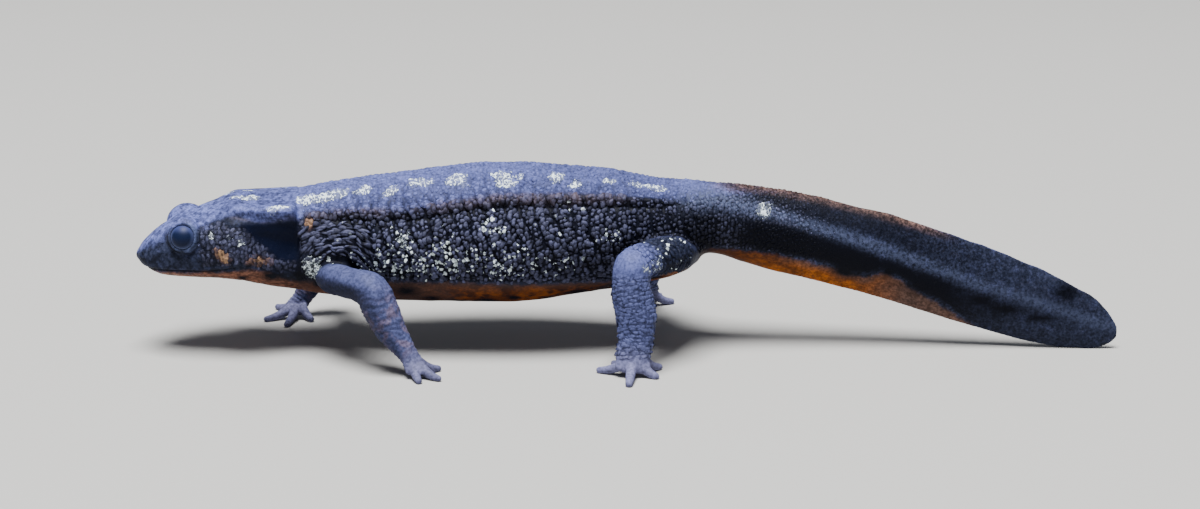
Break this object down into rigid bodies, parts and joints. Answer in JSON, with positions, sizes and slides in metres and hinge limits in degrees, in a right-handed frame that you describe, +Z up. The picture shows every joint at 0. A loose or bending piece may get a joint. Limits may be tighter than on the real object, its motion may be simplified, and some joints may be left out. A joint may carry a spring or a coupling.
{
  "type": "sword-tailed newt",
  "caption": "Life-size newt standing on spread feet, with a long laterally flattened tail that slopes down to rest its end on the floor.",
  "frame": {"origin": "middle of the bounding box in X and Y, on the floor that the toes and the tail's end rest on", "axes": "+X runs from the snout towards the tail, +Z up, and the animal's left side faces -Y"},
  "size_m": [0.1388, 0.0448, 0.0265],
  "materials": {
    "body_skin": "damp granular skin",
    "limb_skin": "damp finely wrinkled skin",
    "eye": "wet, glossy"
  },
  "bodies": {
    "root": {"head": "body_skin", "neck": "body_skin", "torso": "body_skin", "tail_base": "body_skin", "tail_middle": "body_skin", "tail_end": "body_skin", "foreleg_left": "limb_skin", "foreleg_right": "limb_skin", "hindleg_left": "limb_skin", "hindleg_right": "limb_skin", "hand_left": "limb_skin", "hand_right": "limb_skin", "foot_left": "limb_skin", "foot_right": "limb_skin", "eye_left": "eye", "eye_right": "eye"}
  },
  "joints": []
}
